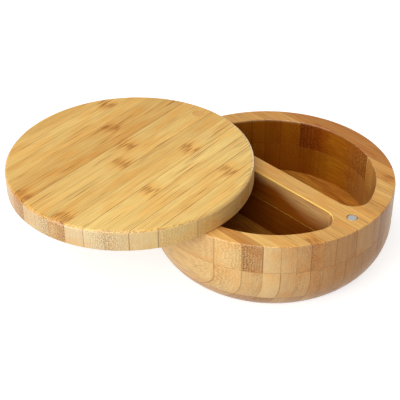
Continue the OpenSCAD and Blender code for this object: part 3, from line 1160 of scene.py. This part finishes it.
class SALTBOX_OT_lid_board(bpy.types.Operator):
    """Make the lid, swung open on its screw"""

    bl_idname = "saltbox.lid_board"
    bl_label = "Lid board"

    def execute(self, context):
        sizes = context.scene.saltbox_boards
        look = context.scene.saltbox_bamboo
        outside = circle(BOX_R - sizes.sanded, BOARD_SIDES)
        section = board_section(BOX_R, 0, LID_T, sizes.lid_under_edge, sizes.lid_top_edge)
        piece = solid("lid_board", outside, section, lid_holes(sizes), LID_PLACE)
        material = bamboo_material("lid bamboo", look, "lid", LID_SWING)
        nodes = [n for n in cad_nodes("lid_") if not n.endswith("magnet")]
        finish_piece(piece, material, "lid", nodes)
        return {"FINISHED"}


class SALTBOX_OT_plug(bpy.types.Operator):
    """Make the bamboo plug that covers the screw"""

    bl_idname = "saltbox.plug"
    bl_label = "Plug"

    def execute(self, context):
        sizes = context.scene.saltbox_boards
        look = context.scene.saltbox_bamboo
        outside = circle(PLUG_R, PLUG_SIDES, (PIVOT_X, 0))
        top = LID_T - sizes.plug_depth
        corners = [(0, PLUG_BOTTOM, 0), (0, top, sizes.hole_edge)]
        section = eased([(-STAND_OFF, PLUG_BOTTOM, 0), *corners, (-STAND_OFF, top, 0)])
        piece = solid("pivot_plug_end", outside, section, (), LID_PLACE)
        material = bamboo_material("plug bamboo", look, "plug", fibres_up=True)
        finish_piece(piece, material, "lid", ["pivot_plug"])
        return {"FINISHED"}


class SALTBOX_OT_metal(bpy.types.Operator):
    """Give the magnets, the screw and the washer their plating"""

    bl_idname = "saltbox.metal"
    bl_label = "Metal parts"

    def execute(self, context):
        look = context.scene.saltbox_metal
        nickel = metal_material("satin nickel", look.nickel, look.roughness, look.nickel_pitting)
        zinc = metal_material("zinc plate", look.zinc, look.roughness, look.zinc_pitting)
        finishes = {"rim_magnet": nickel, "lid_magnet": nickel, "pivot_screw": zinc,
                    "pivot_washer": zinc}
        for name, material in finishes.items():
            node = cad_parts[name]
            node.data.materials.clear()
            node.data.materials.append(material)
        return {"FINISHED"}


# Each lamp is a soft box that points at LIT_POINT: an angle round from +X and an angle up from
# the floor, in degrees, its distance in metres, and its width and height
LAMPS = {
    "key": ((-95, 17), 1.2, (0.7, 0.5)),
    "fill": ((-58, 38), 1.4, (0.9, 0.7)),
    "top": ((-115, 70), 1.3, (0.9, 0.9)),
    "back": ((110, 12), 1.4, (1.0, 0.5)),
}
LIT_POINT = Vector((-0.03, -0.03, 0.03))
FLOOR_R = 6.0
FLOOR_SIDES = 96
FLOOR_DROP = 0.05 * MM
GLOW_GROWS = (0.4, 1.6)
SENSOR_W_MM = 36
NEAREST_SEEN = 10 * MM


class SALTBOX_OT_stage(bpy.types.Operator):
    """Set up the camera, the floor and the lights"""

    bl_idname = "saltbox.stage"
    bl_label = "Stage"

    def execute(self, context):
        scene = context.scene
        look = scene.saltbox_stage
        self.camera(scene, look)
        self.floor(scene, look)
        self.sky(scene, look)
        for name, (direction, away, size) in LAMPS.items():
            self.lamp(scene, name.capitalize() + " light", getattr(look, name), direction, away, size)
        scene.view_settings.view_transform = "Standard"
        return {"FINISHED"}

    def camera(self, scene, look):
        data = bpy.data.cameras.new("Camera")
        data.lens = look.lens
        data.sensor_width = SENSOR_W_MM
        data.clip_start = NEAREST_SEEN
        camera = bpy.data.objects.new("Camera", data)
        camera.location = look.eye
        camera.rotation_euler = look.aim
        scene.collection.objects.link(camera)
        scene.camera = camera

    def floor(self, scene, look):
        bm = bmesh.new()
        bmesh.ops.create_circle(bm, cap_ends=True, radius=FLOOR_R, segments=FLOOR_SIDES)
        mesh = bpy.data.meshes.new("floor")
        bm.to_mesh(mesh)
        bm.free()
        floor = bpy.data.objects.new("floor", mesh)
        scene.collection.objects.link(floor)
        floor.location.z = -FLOOR_DROP
        mesh.materials.append(self.floor_material(look))

    def floor_material(self, look):
        material, g = new_material("pale floor")
        surface = g.fed(g.node("BsdfDiffuse"), {"Color": colour4(look.floor)})
        # Far from the lamps the floor glows more, so that it meets the white sky without a line
        out_from_middle = g.node("VectorMath", operation="LENGTH")
        g.feed(out_from_middle.inputs[0], g.node("TexCoord").outputs["Object"])
        strength = g.ramp(out_from_middle.outputs["Value"], *GLOW_GROWS, look.floor_glow, 1.0)
        glow = g.fed(g.node("Emission"), {"Strength": g.times(self.seen(g), strength)})
        g.surface(g.fed(g.node("AddShader"), {0: surface[0], 1: glow[0]})[0])
        return material

    def seen(self, g):
        """1 for what the camera sees, also in a reflection or through glass."""
        path = g.node("LightPath").outputs
        either = g.larger(path["Is Camera Ray"], path["Is Glossy Ray"])
        return g.larger(either, path["Is Transmission Ray"])

    def sky(self, scene, look):
        """White to the camera, and a weaker light to everything else."""
        world = bpy.data.worlds.new("Studio")
        scene.world = world
        world.use_nodes = True
        world.node_tree.nodes.clear()
        g = Graph(world.node_tree)
        strength = g.ramp(self.seen(g), 0, 1, look.sky, 1.0, smooth=False)
        light = g.fed(g.node("Background"), {"Color": colour4((1, 1, 1)), "Strength": strength})
        g.fed(g.node("OutputWorld"), {"Surface": light[0]})

    def lamp(self, scene, name, watts, direction, away, size):
        around, up = map(math.radians, direction)
        flat = math.cos(up)
        towards = Vector((flat * math.cos(around), flat * math.sin(around), math.sin(up)))
        place = LIT_POINT + away * towards
        data = bpy.data.lights.new(name, "AREA")
        data.energy = watts
        data.shape = "RECTANGLE"
        data.size, data.size_y = size
        lamp = bpy.data.objects.new(name, data)
        lamp.location = place
        lamp.rotation_euler = (LIT_POINT - place).to_track_quat("-Z", "Y").to_euler()
        scene.collection.objects.link(lamp)


class SALTBOX_PT_panel(bpy.types.Panel):
    """Settings and steps of the salt box"""

    bl_label = "Salt Box"
    bl_idname = "SALTBOX_PT_panel"
    bl_space_type = "VIEW_3D"
    bl_region_type = "UI"
    bl_category = "Salt Box"

    def draw(self, context):
        for name in GROUPS:
            settings = getattr(context.scene, name)
            box = self.layout.box()
            for prop in settings.__annotations__:
                box.prop(settings, prop)
        for operator in OPERATORS:
            self.layout.operator(operator.bl_idname)


GROUPS = {
    "saltbox_boards": BoardSizes,
    "saltbox_bamboo": BambooLook,
    "saltbox_metal": MetalLook,
    "saltbox_stage": StageLook,
}
OPERATORS = (
    SALTBOX_OT_stage,
    SALTBOX_OT_box_boards,
    SALTBOX_OT_lid_board,
    SALTBOX_OT_plug,
    SALTBOX_OT_metal,
)
CLASSES = (*GROUPS.values(), *OPERATORS, SALTBOX_PT_panel)


def register():
    for cls in CLASSES:
        bpy.utils.register_class(cls)
    for name, settings in GROUPS.items():
        setattr(bpy.types.Scene, name, bpy.props.PointerProperty(type=settings))


def unregister():
    for name in GROUPS:
        delattr(bpy.types.Scene, name)
    for cls in reversed(CLASSES):
        bpy.utils.unregister_class(cls)


def main():
    register()
    bpy.ops.saltbox.stage()
    bpy.ops.saltbox.box_boards()
    bpy.ops.saltbox.lid_board()
    bpy.ops.saltbox.plug()
    bpy.ops.saltbox.metal()


if __name__ == "__main__":
    main()
